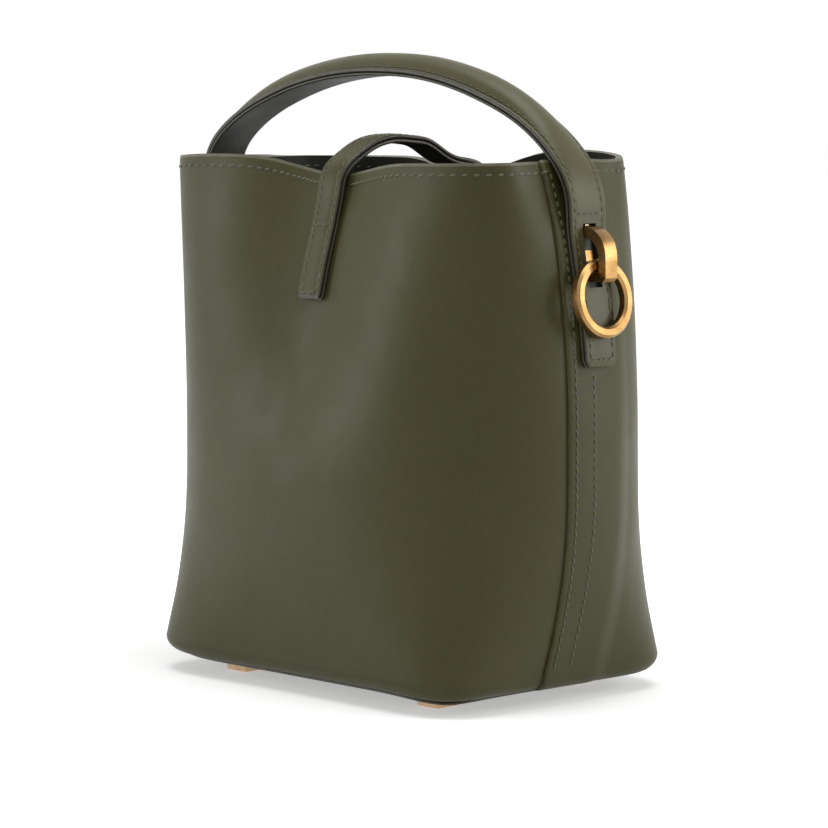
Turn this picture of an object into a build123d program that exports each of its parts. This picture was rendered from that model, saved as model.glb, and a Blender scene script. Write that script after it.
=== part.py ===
from build123d import *
import functools
import math
import os

# Bucket bag with a sewn top handle, a closure strap over its mouth and a ring on each side.
# Millimetres, +Z up, the floor at z = 0 and the base centred on the origin.
# The closure strap fastens on the front (-Y) and is sewn to the back (+Y).

# ---------------------------------------------------------------- driving dimensions
# body
RIM_Z = 258.0                 # height of the mouth above the floor
BASE_HALF_WIDTH = 107.5
BELLY_HALF_WIDTH = 127.5
MOUTH_HALF_WIDTH = 118.2
BASE_HALF_DEPTH = 77.5
BELLY_HALF_DEPTH = 81.5
MOUTH_HALF_DEPTH = 58.5
BASE_SOFTNESS = 0.10          # corner softness: 0 is a square plan, 0.5 is an ellipse
BELLY_SOFTNESS = 0.42
MOUTH_SOFTNESS = 0.20
BELLY_Z = 105.0               # the walls are widest from here up to the shoulder
SHOULDER_Z = 130.0
MOUTH_LEAN = 8.0              # the soft mouth leans this far towards +X at rest
DENT_Z = 100.0                # the closure strap dents both walls from here up
DENT_FULL_Z = 190.0
BACK_DENT = 15.5
FRONT_DENT = 19.0
DENT_REACH = 45.0
SIDE_PULL = 5.0               # the handle pulls the rim in at both sides
SIDE_PULL_Z = 215.0
SIDE_PULL_REACH = 30.0
RIM_DIP = 7.0                 # the rim sinks under the closure strap
RIM_DIP_REACH = 32.0
BEND = 7.0                    # radius of the wall's turn under the base

# leathers and linings
LEATHER = 1.8
LINING = 1.0
FACING = 1.5
FACING_HEIGHT = 65.0
LAP_EDGE_Y = 17.0             # the front panel laps the back panel up to here
LAP_ROOT_Y = -14.0            # full rise of the lap begins here
LAP_START_Y = -28.0
GLUE = 0.1                    # a glued layer off the one below it

# base, bottom to top
FOOT_HEIGHT = 7.0
FOOT_SIZE = 15.2
FOOT_TAPER = 8.0
FOOT_INSET_X = 38.0           # from the base's widest and deepest lines to a foot's centre
FOOT_INSET_Y = 30.5
FOOT_EDGE = 0.8
POST_RADIUS = 1.9
BASE_LEATHER = 2.0
BASE_LEATHER_INSET = 3.0
TURN_UNDER = 14.0             # margin of the wall leather turned under the base
BOARD = 2.0
FOAM = 2.0
WASHER_RADIUS = 6.0
WASHER = 1.0

# handle
STRAP_WIDTH = 24.0
TAB_END_WIDTH = 20.6
TAB_END_Z = 163.0
TAB_TAPER_Z = 235.0
TAB_CORNER = 4.0
TAB = 2.5
BACKING = 1.5
SLOT_WIDTH = 8.8
SLOT_LOW_Z = 199.0
SLOT_HIGH_Z = 229.5
SLOT_CORNER = 1.5
HANDLE_RISE = 46.0            # crown of the handle above the rim
HANDLE_REACH = 122.0          # half span of the arch
HANDLE_SPRING = 17.0          # centre of the arch below the rim
HANDLE_SWAY = 4.5             # the arch leans this far past the mouth's lean
PAD_WIDTH = 19.0
PAD_HEIGHT = 7.5
PAD_SKIN = 1.4
HANDLE_TILT = 25.0            # the handle tilts this far to either side

# closure strap
CLOSURE_WIDTH = 13.8
CLOSURE_LAYER = 2.2
ANCHOR_LOW_Z = 191.0
ANCHOR_HIGH_Z = 230.0
CLOSURE_ARCH = ((0.0402, 0.5), (0.179, 7.2), (0.3814, 10.4), (0.6163, 7.9), (0.7805, 2.0))
                              # share of the way from back rim to front rim, height above them
CLOSURE_LIFT = 1.2            # the strap's inner face off the rim
CLOSURE_TIP_Z = 204.0
SNAP_Z = 213.0
SNAP_RADIUS = 7.0
SOCKET_HEIGHT = 2.4
PLUG_HEIGHT = 1.4

# metal link and ring
LINK_WIDTH = 8.0
LINK_BAR = 4.4
LINK_PLATE = 1.3
LINK_PLATE_WIDTH = 11.0
LINK_HIGH_Z = 228.6
LINK_SHOULDER_Z = 212.0
LINK_LOW_Z = 202.4
LINK_CORNER = 2.0
RING_OUTER_RADIUS = 18.7
RING_RADIAL = 5.2
RING_AXIAL = 5.6
RING_BEVEL = 1.2
SCREW_RADIUS = 1.5
SCREW_HEAD_RADIUS = 3.5
SCREW_HEAD = 1.6
SCREW_BITE = 3.5              # a screw's length inside the link

# clearances
FIT = 0.1                     # a post or screw in its hole
SEAT = 0.3                    # a soft piece beside its neighbour
RING_PLAY = 0.4               # the ring's face off the handle tab

# ---------------------------------------------------------------- derived heights
FOOT_X = BASE_HALF_WIDTH - FOOT_INSET_X
FOOT_Y = BASE_HALF_DEPTH - FOOT_INSET_Y
BASE_Z = FOOT_HEIGHT
WALL_Z = BASE_Z + BASE_LEATHER
BOARD_Z = WALL_Z + LEATHER
FOAM_Z = BOARD_Z + BOARD
FLOOR_Z = FOAM_Z + FOAM
FACING_Z = RIM_Z - FACING_HEIGHT
HANDLE_Z = RIM_Z + 1.0        # the handle starts to move just above the rim
LAP_OUT = LEATHER             # outer faces of the layers on the side walls
BACKING_OUT = LAP_OUT + GLUE + BACKING
TAB_OUT = BACKING_OUT + TAB
FACING_IN = LEATHER + GLUE + FACING
SIDES = {"left": -1, "right": 1}


# ---------------------------------------------------------------- form of the body
def quarter(z, low, high):
    """Angle that runs from 0 to 90 degrees between two heights."""
    return math.pi / 2 * max(0.0, (z - low) / (high - low))


def swell(z):
    return math.sin(min(quarter(z, BASE_Z, BELLY_Z), math.pi / 2))


def taper(z):
    return 1 - math.cos(quarter(z, SHOULDER_Z, RIM_Z))


def along_height(z, base, belly, mouth):
    return base + (belly - base) * swell(z) - (belly - mouth) * taper(z)


def half_width(z):
    return along_height(z, BASE_HALF_WIDTH, BELLY_HALF_WIDTH, MOUTH_HALF_WIDTH)


def half_depth(z):
    return along_height(z, BASE_HALF_DEPTH, BELLY_HALF_DEPTH, MOUTH_HALF_DEPTH)


def lean(z):
    return MOUTH_LEAN * taper(z)


def smooth_step(place):
    """Runs smoothly from 0 to 1 while place does."""
    place = min(1.0, max(0.0, place))
    return place * place * (3 - 2 * place)


def dent(z, depth):
    return depth * smooth_step((z - DENT_Z) / (DENT_FULL_Z - DENT_Z))


def side_pull(z):
    return SIDE_PULL * (1 - math.cos(quarter(z, SIDE_PULL_Z, RIM_Z)))


def side_x(side, z, proud=0.0):
    """X of the side wall's centre line, or of a face that stands proud of it."""
    return side * (half_width(z) - side_pull(z) + proud) + lean(z)


def back_y(z, proud=0.0):
    return half_depth(z) - dent(z, BACK_DENT) + proud


def front_y(z, proud=0.0):
    return -(half_depth(z) - dent(z, FRONT_DENT) + proud)


def plan_point(z, turn):
    """Point of the upright wall's outer face at height z; turn is in radians from +X."""
    power = 1 / along_height(z, BASE_SOFTNESS, BELLY_SOFTNESS, MOUTH_SOFTNESS)
    width, depth = half_width(z), half_depth(z)
    crowding = 0.65           # crowds the points of a section towards its corners
    across = math.copysign(abs(math.cos(turn)) ** crowding, math.cos(turn))
    along = math.copysign(abs(math.sin(turn)) ** crowding, math.sin(turn))
    scale = (abs(across) ** power + abs(along) ** power) ** (-1 / power)
    x, y = across * scale * width, along * scale * depth
    dent_here = dent(z, BACK_DENT if y > 0 else FRONT_DENT)
    y -= math.copysign(dent_here * math.exp(-(((x + lean(z)) / DENT_REACH) ** 2)), y)
    x -= math.copysign(side_pull(z) * math.exp(-((y / SIDE_PULL_REACH) ** 4)), x)
    return x + lean(z), y


def face_point(z, turn, inset):
    """Point of the wall moved inwards by inset, square to its section."""
    step = 0.01
    x, y = plan_point(z, turn)
    ahead, behind = plan_point(z, turn + step), plan_point(z, turn - step)
    dx, dy = ahead[0] - behind[0], ahead[1] - behind[1]
    length = math.hypot(dx, dy)
    return x - inset * dy / length, y + inset * dx / length, z


def bent_inset(z, inset):
    """Inset of a face at height z, more where the wall turns under the base."""
    below = WALL_Z + BEND - z
    if below <= 0:
        return inset
    return BEND - math.sqrt(max(0.0, (BEND - inset) ** 2 - below ** 2))


def turn_where(miss, low, high):
    """Turn between low and high at which miss(turn) is zero, by halving."""
    low_sign = miss(low) > 0
    for _ in range(24):
        middle = (low + high) / 2
        if (miss(middle) > 0) == low_sign:
            low = middle
        else:
            high = middle
    return (low + high) / 2


@functools.cache
def side_turn(z, side, y):
    """Turn at which a side wall reaches the given y, between -pi/2 and 3 pi/2."""
    middle = 0.0 if side > 0 else math.pi
    return turn_where(lambda turn: plan_point(z, turn)[1] - y, middle - 0.8, middle + 0.8)


@functools.cache
def end_turn(z, end, x):
    """Turn at which the front (-1) or back (1) wall reaches the given x."""
    middle = end * math.pi / 2
    return turn_where(lambda turn: plan_point(z, turn)[0] - x, middle - 0.8, middle + 0.8)


def shares(points):
    """Parameters of a spline's points, in proportion to the distances between them."""
    lengths = [0.0]
    for here, after in zip(points, points[1:]):
        lengths.append(lengths[-1] + math.dist(here, after))
    return [length / lengths[-1] for length in lengths]


def smooth(points, parameters):
    return Edge.make_spline([Vector(*point) for point in points], parameters=parameters)


def wall_line(z, turns, inset):
    """Smooth line along a face of the wall at height z; turns(z) lists its points."""
    points = [face_point(z, turn, bent_inset(z, inset(turn) if callable(inset) else inset))
              for turn in turns(z)]
    belly = [plan_point(BELLY_Z, turn) for turn in turns(BELLY_Z)]
    return smooth(points, shares(belly))


def closed_face(lines):
    """Face bounded by lines that leave gaps, each bridged by a straight line."""
    edges = []
    for here, after in zip(lines, lines[1:] + lines[:1]):
        edges += [here, Line(here @ 1, after @ 0)]
    return make_face(edges)


def tall_loft(section, low, high):
    """Loft section(z) from low to high, the turn under the base as a stretch of its own."""
    upright = max(low, WALL_Z + BEND)
    steps = max(3, round((high - upright) / 12))
    heights = [upright + (high - upright) * step / steps for step in range(steps + 1)]
    body = loft([section(z) for z in heights])
    if low < upright:
        bend = [low + (upright - low) * part for part in (0, 0.15, 0.35, 0.65, 1)]
        body += loft([section(z) for z in bend])
    return body


def around(z, end, y=0.0):
    """Turns from one side wall round the front (-1) or back (1) to the other, y to y."""
    start, stop = side_turn(z, 1, y), side_turn(z, -1, y)
    if end < 0:
        stop -= 2 * math.pi
    near = [side_turn(z, 1, y + end * step) for step in (4, 9, 15, 22)]
    far = [side_turn(z, -1, y + end * step) for step in (22, 15, 9, 4)]
    if end < 0:
        far = [turn - 2 * math.pi for turn in far]
    count = 22
    middle = [near[-1] + (far[0] - near[-1]) * step / count for step in range(1, count)]
    return [start] + near + middle + far + [stop]


def half_layer(end, low, high, outer, inner):
    """Front (-1) or back (1) half of a layer of the wall, cut square at y = 0."""
    def section(z):
        return closed_face([wall_line(z, lambda height: around(height, end), outer),
                            wall_line(z, lambda height: around(height, end)[::-1], inner)])

    return tall_loft(section, low, high)


def patch(turn, limits, z, outer, inner):
    """Piece of a layer of the wall, turn(z, limit) giving its two edges."""
    def turns(height):
        start, stop = (turn(height, limit) for limit in limits)
        return [start + (stop - start) * step / 8 for step in range(9)]

    def section(height):
        return closed_face([wall_line(height, turns, outer),
                            wall_line(height, lambda low: turns(low)[::-1], inner)])

    return tall_loft(section, *z)


def side_patch(side, y, z, outer, inner):
    return patch(lambda height, limit: side_turn(height, side, limit), y, z, outer, inner)


def end_patch(end, x, z, outer, inner):
    return patch(lambda height, limit: end_turn(height, end, limit), x, z, outer, inner)


def side_plane(side, z, proud=0.0):
    """Plane on the middle of a side wall, z out of the wall and x along Y."""
    here, above = side_x(side, z, proud), side_x(side, z + 1, proud)
    return Plane((here, 0, z), x_dir=(0, 1, 0), z_dir=(side, 0, -side * (above - here)))


# ---------------------------------------------------------------- cutting tools
def block(x, y, z):
    size = (x[1] - x[0], y[1] - y[0], z[1] - z[0])
    centre = ((x[0] + x[1]) / 2, (y[0] + y[1]) / 2, (z[0] + z[1]) / 2)
    return Pos(*centre) * Box(*size)


def rim_dip(end):
    """The hollow in the front (-1) or back (1) rim under the closure strap."""
    reach, top = RIM_DIP_REACH, RIM_Z + 1
    line = Spline((-2 * reach, RIM_Z), (-reach, RIM_Z - RIM_DIP / 3), (0, RIM_Z - RIM_DIP),
                  (reach, RIM_Z - RIM_DIP / 3), (2 * reach, RIM_Z), tangents=((1, 0), (1, 0)))
    over = Polyline((2 * reach, RIM_Z), (2 * reach, top), (-2 * reach, top), (-2 * reach, RIM_Z))
    return extrude(Plane.XZ * make_face([line, over]), amount=-end * MOUTH_HALF_DEPTH * 1.5)


def side_prism(side, face):
    """A face drawn in the YZ plane, extruded through one side wall."""
    start = Plane((side * 60, 0, 0), x_dir=(0, 1, 0), z_dir=(1, 0, 0))
    return extrude(start * face, amount=side * 100)


# ---------------------------------------------------------------- base
def foot_places():
    return {"front_left": (-FOOT_X, -FOOT_Y), "front_right": (FOOT_X, -FOOT_Y),
            "back_left": (-FOOT_X, FOOT_Y), "back_right": (FOOT_X, FOOT_Y)}


def post_holes(radius=POST_RADIUS + FIT):
    return [Pos(x, y, FLOOR_Z / 2) * Cylinder(radius, 2 * FLOOR_Z) for x, y in foot_places().values()]


def foot(place):
    block_face = Rectangle(FOOT_SIZE, FOOT_SIZE)
    body = Pos(0, 0, FOOT_HEIGHT) * extrude(block_face, amount=-FOOT_HEIGHT, taper=FOOT_TAPER)
    body = fillet(body.edges().filter_by(Axis.Z, reverse=True).group_by(Axis.Z)[0], FOOT_EDGE)
    post = Pos(0, 0, FOOT_HEIGHT) * extrude(Circle(POST_RADIUS), amount=FOAM_Z + WASHER - BASE_Z)
    return Pos(*place, 0) * (body + post)


def washers():
    ring = Circle(WASHER_RADIUS) - Circle(POST_RADIUS + FIT)
    return Compound(children=[Pos(x, y, FOAM_Z) * extrude(ring, amount=WASHER)
                              for x, y in foot_places().values()])


def plan_face(z, inset, count=64):
    """Horizontal section of the whole body inside one of its upright faces."""
    points = [face_point(z, 2 * math.pi * step / count, inset) for step in range(count)]
    return make_face(Spline(*points, periodic=True))


def plate(z, thickness, inset):
    """A flat piece with the plan of the body at its underside."""
    return extrude(plan_face(z, inset), amount=thickness)


def base_window(clearance, z):
    width = BASE_HALF_WIDTH - BEND - TURN_UNDER - clearance
    depth = BASE_HALF_DEPTH - BEND - TURN_UNDER - clearance
    return block((-width, width), (-depth, depth), z)


def base_parts():
    holes = post_holes()
    parts = {
        "base_panel": plate(BASE_Z, BASE_LEATHER, BASE_LEATHER_INSET) - holes,
        "base_filler": base_window(SEAT, (WALL_Z, BOARD_Z)) - holes,
        "base_board": plate(BOARD_Z, BOARD, BEND + SEAT) - holes,
        "base_foam": plate(FOAM_Z, FOAM, LEATHER + BEND / 2) - post_holes(WASHER_RADIUS + SEAT),
        "lining_floor": plate(FLOOR_Z, LINING, LEATHER + SEAT),
        "foot_washers": washers(),
    }
    for name, place in foot_places().items():
        parts["foot_" + name] = foot(place)
    return parts


# ---------------------------------------------------------------- walls
def turned_under(end):
    """The margin of a panel's leather that is turned under the base."""
    sections = [closed_face([wall_line(z, lambda height: around(height, end), GLUE)])
                for z in (WALL_Z, WALL_Z + LEATHER / 2, BOARD_Z)]
    return loft(sections) - base_window(0, (0, FLOOR_Z))


def lap_rise(y):
    """How far the front panel stands off the wall on its way over the back panel."""
    return LAP_OUT * smooth_step((y - LAP_START_Y) / (LAP_ROOT_Y - LAP_START_Y))


def lapped_turns(z):
    """Turns along the front panel's outer face, from lap edge to lap edge."""
    steps = (LAP_EDGE_Y, 12, 6, 0, -5, -10, -14, -18, -22, -27)
    right = [side_turn(z, 1, y) for y in steps]
    left = [side_turn(z, -1, y) - 2 * math.pi for y in steps[::-1]]
    count = 22
    middle = [right[-1] + (left[0] - right[-1]) * step / count for step in range(1, count)]
    return right + middle + left


def lapped_face(z):
    """Section of the front panel with the laps on both sides."""
    outside = wall_line(z, lapped_turns, lambda turn: -lap_rise(plan_point(z, turn)[1]))
    under_left = wall_line(z, lambda height: lapped_turns(height)[:-5:-1], -GLUE)
    under_right = wall_line(z, lambda height: lapped_turns(height)[3::-1], -GLUE)
    inside = wall_line(z, lambda height: around(height, -1)[::-1], LEATHER)
    return closed_face([outside, under_left, inside, under_right])


def wall_parts():
    high = RIM_Z
    front_dip, back_dip = rim_dip(-1), rim_dip(1)
    stud_hole = snap_rod(SCREW_RADIUS + FIT, -2, 14)
    holes = [screw_rod(side, z, SCREW_RADIUS + FIT) for side in SIDES.values() for z in SCREW_HEIGHTS]
    front = tall_loft(lapped_face, BOARD_Z, high) + turned_under(-1)
    back = half_layer(1, BOARD_Z, high, 0, LEATHER) + turned_under(1)
    facing_front = half_layer(-1, FACING_Z, high, LEATHER + GLUE, FACING_IN)
    facing_back = half_layer(1, FACING_Z, high, LEATHER + GLUE, FACING_IN)
    lining_low, lining_high = FLOOR_Z + LINING, FACING_Z
    return {
        "front_panel": front - (holes + [front_dip, stud_hole]),
        "back_panel": back - (holes + [back_dip]),
        "facing_front": facing_front - (holes + [front_dip, stud_hole]),
        "facing_back": facing_back - (holes + [back_dip]),
        "lining_front": half_layer(-1, lining_low, lining_high, LEATHER + GLUE, LEATHER + LINING),
        "lining_back": half_layer(1, lining_low, lining_high, LEATHER + GLUE, LEATHER + LINING),
    }


# ---------------------------------------------------------------- handle
def tab_face():
    """Outline of a handle tab, Y across and Z up."""
    half, end = STRAP_WIDTH / 2, TAB_END_WIDTH / 2
    top = HANDLE_Z + 1
    outline = Polyline((-half, top), (-half, TAB_TAPER_Z), (-end, TAB_END_Z), (end, TAB_END_Z),
                       (half, TAB_TAPER_Z), (half, top), close=True)
    face = make_face(outline)
    return fillet(face.vertices().sort_by(Axis.Y)[:2], TAB_CORNER)


def slot_face(width, clearance=0.0):
    height = SLOT_HIGH_Z - SLOT_LOW_Z + 2 * clearance
    middle = (SLOT_HIGH_Z + SLOT_LOW_Z) / 2
    return Pos(0, middle) * RectangleRounded(width + 2 * clearance, height, SLOT_CORNER)


def tab_parts(side):
    half = STRAP_WIDTH / 2 + 1
    reach = (-half, half), (TAB_END_Z - 1, HANDLE_Z - SEAT)
    tab = side_patch(side, *reach, -TAB_OUT, -BACKING_OUT - GLUE)
    backing = side_patch(side, *reach, -BACKING_OUT, -LAP_OUT - GLUE)
    return (tab & side_prism(side, tab_face() - slot_face(SLOT_WIDTH)),
            backing & side_prism(side, tab_face() - slot_face(LINK_PLATE_WIDTH, SEAT)))


def handle_path():
    """Line between the handle's two leathers, in the XZ plane."""
    middle = MOUTH_LEAN + HANDLE_SWAY
    rise = HANDLE_RISE + HANDLE_SPRING
    points = [(side_x(-1, HANDLE_Z, BACKING_OUT), 0, HANDLE_Z)]
    for degrees in (150, 120, 90, 60, 30):
        angle = math.radians(degrees)
        x = middle + HANDLE_REACH * math.cos(angle)
        points.append((x, 0, RIM_Z - HANDLE_SPRING + rise * math.sin(angle)))
    points.append((side_x(1, HANDLE_Z, BACKING_OUT), 0, HANDLE_Z))
    return Spline(*points, tangents=((0.4, 0, 1), (0.1, 0, -1)))


def handle_loft(outline):
    """Loft along the handle; outline(fullness) draws a section, y out of the handle."""
    path = handle_path()
    faces = []
    for place in (0, 0.04, 0.1, 0.18, 0.28, 0.39, 0.5, 0.61, 0.72, 0.82, 0.9, 0.96, 1):
        across = Plane(path @ place, x_dir=(0, 1, 0), z_dir=path % place)
        fullness = max(0.08, math.sin(math.pi * place)) ** 0.35
        faces.append(across * outline(fullness))
    return loft(faces)


def dome(width, low, height):
    """Half round line over the middle of the strap, from +width/2 to -width/2."""
    steps = [math.radians(angle) for angle in range(0, 181, 20)]
    return [(width / 2 * math.cos(angle), low + height * math.sin(angle)) for angle in steps]


def domed_cover(fullness):
    """Section of the cover leather, raised over the core."""
    half, low, skin = STRAP_WIDTH / 2, 2 * GLUE, PAD_SKIN
    over = dome(PAD_WIDTH, TAB, PAD_HEIGHT * fullness)
    under = dome(PAD_WIDTH - 2 * skin, low, TAB - low + PAD_HEIGHT * fullness - skin)[::-1]
    even = [step / 9 for step in range(10)]
    edges = [Polyline((-half, low), (-half, TAB), over[-1]), smooth(over[::-1], even),
             Polyline(over[0], (half, TAB), (half, low), under[-1]),
             smooth(under, even), Line(under[0], (-half, low))]
    return make_face(edges)


def domed_core(fullness):
    skin = PAD_SKIN + GLUE
    over = dome(PAD_WIDTH - 2 * skin, 3 * GLUE, TAB + PAD_HEIGHT * fullness - skin - 3 * GLUE)
    even = [step / 9 for step in range(10)]
    return make_face([smooth(over, even), Line(over[-1], over[0])])


def tilt_notch():
    """Wedges under the handle's ends that leave room for its tilt."""
    rise = STRAP_WIDTH * math.tan(math.radians(HANDLE_TILT))
    low = HANDLE_Z - 6
    wedges = [make_face(Polyline((0, HANDLE_Z), (side * STRAP_WIDTH, HANDLE_Z + rise),
                                 (side * STRAP_WIDTH, low), (0, low), close=True))
              for side in SIDES.values()]
    return [side_prism(side, wedge) for side in SIDES.values() for wedge in wedges]


def handle_parts():
    notch = tilt_notch()
    flat = Pos(0, -BACKING / 2) * Rectangle(STRAP_WIDTH, BACKING)
    return {
        "handle_underside": handle_loft(lambda fullness: flat) - notch,
        "handle_cover": handle_loft(domed_cover) - notch,
        "handle_core": handle_loft(domed_core) - notch,
    }


# ---------------------------------------------------------------- closure strap
def tip_start():
    """Where the strap bends over the front rim, between its two leathers."""
    z = RIM_Z - RIM_DIP
    return Vector(0, front_y(z, CLOSURE_LAYER + 2 * CLOSURE_LIFT + 1.5), z)


def tip_slope():
    """Direction of the hanging tip, down to the snap on the front wall."""
    gap = CLOSURE_LAYER + SOCKET_HEIGHT + PLUG_HEIGHT + SEAT
    return (Vector(0, front_y(SNAP_Z, gap), SNAP_Z) - tip_start()).normalized()


def closure_path():
    """Line between the strap's two leathers, in the YZ plane, from anchor to front rim."""
    low, rim = ANCHOR_HIGH_Z + 4 * SEAT, RIM_Z - RIM_DIP
    lift = CLOSURE_LAYER + CLOSURE_LIFT
    start = (0, back_y(low, CLOSURE_LAYER + CLOSURE_LIFT / 2), low)
    middle = (low + rim) / 2
    up_wall = (0, back_y(middle, lift), middle)
    over_rim = (0, back_y(rim, lift), rim + lift / 2 + 0.6)
    back, front = back_y(rim), front_y(rim)
    arch = [(0, back + (front - back) * share, RIM_Z + rise) for share, rise in CLOSURE_ARCH]
    up = (0, back_y(low + 1) - back_y(low), 1)
    return Spline(start, up_wall, over_rim, *arch, tip_start(), tangents=(up, tip_slope()))


def closure_tip_path():
    slope = tip_slope()
    first = tip_start() + slope * SEAT
    return Line(first, first + slope * ((first.Z - CLOSURE_TIP_Z) / -slope.Z))


def ribbon(path, low, high):
    """Layer of the closure strap between two offsets from a path in the YZ plane."""
    steps = [step / 24 for step in range(25)]

    def beside(offset):
        slopes = [path % step for step in steps]
        return [(path @ step) + Vector(0, slope.Z, -slope.Y) * offset
                for step, slope in zip(steps, slopes)]

    face = closed_face([smooth(beside(high), steps), smooth(beside(low)[::-1], steps)])
    return extrude(face, amount=CLOSURE_WIDTH / 2, dir=(1, 0, 0), both=True)


def closure_layers(path):
    near, far = GLUE / 2, CLOSURE_LAYER - GLUE / 2
    return ribbon(path, near, far), ribbon(path, -far, -near)


def snap_plane():
    """Plane on the tip's inner face at the snap, z pointing at the wall."""
    tip = closure_tip_path()
    place = (SNAP_Z - (tip @ 0).Z) / ((tip @ 1).Z - (tip @ 0).Z)
    along = tip % place
    inward = Vector(0, -along.Z, along.Y)
    return Plane((tip @ place) + inward * CLOSURE_LAYER, x_dir=(1, 0, 0), z_dir=inward)


def snap_rod(radius, low, high):
    return snap_plane() * Pos(0, 0, (low + high) / 2) * Cylinder(radius, high - low)


def closure_parts():
    outer, inner = closure_layers(closure_path())
    tip_outer, tip_inner = closure_layers(closure_tip_path())
    half = CLOSURE_WIDTH / 2
    reach = SNAP_RADIUS * 2
    wall = end_patch(-1, (-reach, reach), (SNAP_Z - reach, SNAP_Z + reach), -SEAT, 9)
    start = PLUG_HEIGHT + SEAT
    socket = snap_rod(SNAP_RADIUS, start, start + 5) - wall
    washer_low = start + SOCKET_HEIGHT + FACING_IN + SEAT
    stud = snap_rod(SCREW_RADIUS, start + 1, washer_low + WASHER)
    washer_hole = snap_rod(SCREW_RADIUS + FIT, 0, 20)
    return {
        "closure_anchor": end_patch(1, (-half, half), (ANCHOR_LOW_Z, ANCHOR_HIGH_Z),
                                    -2 * CLOSURE_LAYER, -SEAT),
        "closure_outer": outer,
        "closure_inner": inner,
        "closure_tip_outer": tip_outer,
        "closure_tip_inner": tip_inner,
        "snap_plug": snap_rod(SNAP_RADIUS - 0.6, GLUE, PLUG_HEIGHT),
        "snap_socket": socket + stud,
        "snap_washer": snap_rod(SNAP_RADIUS, washer_low, washer_low + WASHER) - washer_hole,
    }


# ---------------------------------------------------------------- link and ring
RING_MIDDLE = RING_OUTER_RADIUS - RING_RADIAL / 2
RING_TOP_Z = LINK_LOW_Z + LINK_BAR + RING_RADIAL / 2 + 1.2
RING_OFF = RING_PLAY + RING_AXIAL / 2
LINK_GAP = RING_OFF + RING_AXIAL / 2 + 3 * RING_PLAY
SCREW_HEIGHTS = (LINK_LOW_Z + LINK_BAR / 2, LINK_HIGH_Z - LINK_BAR / 2)


def screw_rod(side, z, radius, low=-12.0, high=LAP_OUT + GLUE + SCREW_BITE):
    """A rod square to a side wall, low and high counted outwards from the wall's face."""
    return side_plane(side, z) * Pos(0, 0, (low + high) / 2) * Cylinder(radius, high - low)


def bow_face(side, shrink):
    """Filled outline of the bow in the XZ plane; shrink moves it in by the bar."""
    high, low = LINK_HIGH_Z - shrink, LINK_LOW_Z + shrink
    out = side_x(side, LINK_SHOULDER_Z, TAB_OUT + LINK_GAP + LINK_BAR - shrink)
    root = LAP_OUT + GLUE + LINK_PLATE / 2 - shrink
    top, bottom = (side_x(side, high, root), high), (side_x(side, low, root), low)
    corner = max(LINK_CORNER - shrink, 0.3)
    crown = Spline(top, (out, LINK_SHOULDER_Z), tangents=((side, 0), (0, -1)))
    seat = [(side_x(side, z, root), z) for z in (low + LINK_BAR, high - LINK_BAR)]
    down = Polyline((out, LINK_SHOULDER_Z), (out, low + corner), (out - side * corner, low),
                    bottom, *seat, top)
    return make_face([crown, down])


def link(side):
    bow_ring = Plane.XZ * (bow_face(side, 0) - bow_face(side, LINK_BAR))
    bow = extrude(bow_ring, amount=LINK_WIDTH / 2, both=True)
    half = LINK_PLATE_WIDTH / 2 + 1
    base = side_patch(side, (-half, half), (SLOT_LOW_Z - 1, SLOT_HIGH_Z + 1),
                      -LAP_OUT - GLUE - LINK_PLATE, -LAP_OUT - GLUE)
    holes = [screw_rod(side, z, SCREW_RADIUS + FIT) for z in SCREW_HEIGHTS]
    return bow + (base & side_prism(side, slot_face(LINK_PLATE_WIDTH))) - holes


def link_screws(side):
    """Two screws that hold a link from inside the bag."""
    screws = []
    for z in SCREW_HEIGHTS:
        low, high = -FACING_IN - FIT, LAP_OUT + GLUE + SCREW_BITE - FIT
        shaft = screw_rod(side, z, SCREW_RADIUS, low - SCREW_HEAD / 2, high)
        screws.append(shaft + screw_rod(side, z, SCREW_HEAD_RADIUS, low - SCREW_HEAD, low))
    return Compound(children=screws)


def ring_frame(side):
    """Plane of a hanging ring: origin at its centre, z out of its face."""
    low_z = RING_TOP_Z - 2 * RING_MIDDLE
    top = Vector(side_x(side, RING_TOP_Z, TAB_OUT + RING_OFF), 0, RING_TOP_Z)
    low = Vector(side_x(side, low_z, TAB_OUT + RING_OFF), 0, low_z)
    down = (low - top).normalized()
    face = Vector(0, 1, 0).cross(down)
    return Plane(top + down * RING_MIDDLE, x_dir=(0, 1, 0), z_dir=face)


def ring(side):
    radial, axial, bevel = RING_RADIAL / 2, RING_AXIAL / 2, RING_BEVEL
    section = make_face(Polyline((radial, axial - bevel), (radial - bevel, axial),
                                 (bevel - radial, axial), (-radial, axial - bevel),
                                 (-radial, bevel - axial), (bevel - radial, -axial),
                                 (radial - bevel, -axial), (radial, bevel - axial), close=True))
    hoop = revolve(Plane.XZ * Pos(RING_MIDDLE, 0) * section, Axis.Z)
    return ring_frame(side) * hoop


# ---------------------------------------------------------------- all parts
def all_parts():
    parts = {}
    parts.update(base_parts())
    parts.update(wall_parts())
    parts.update(handle_parts())
    parts.update(closure_parts())
    for name, side in SIDES.items():
        parts["handle_tab_" + name], parts["tab_backing_" + name] = tab_parts(side)
        parts["link_" + name] = link(side)
        parts["link_screws_" + name] = link_screws(side)
        parts["ring_" + name] = ring(side)
    return parts


os.makedirs("parts", exist_ok=True)
for part_name, part in all_parts().items():
    export_step(part, "parts/" + part_name + ".step")
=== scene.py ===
import bmesh
import bpy
import math
import numpy as np
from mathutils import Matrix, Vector, noise
from mathutils.bvhtree import BVHTree


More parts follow.
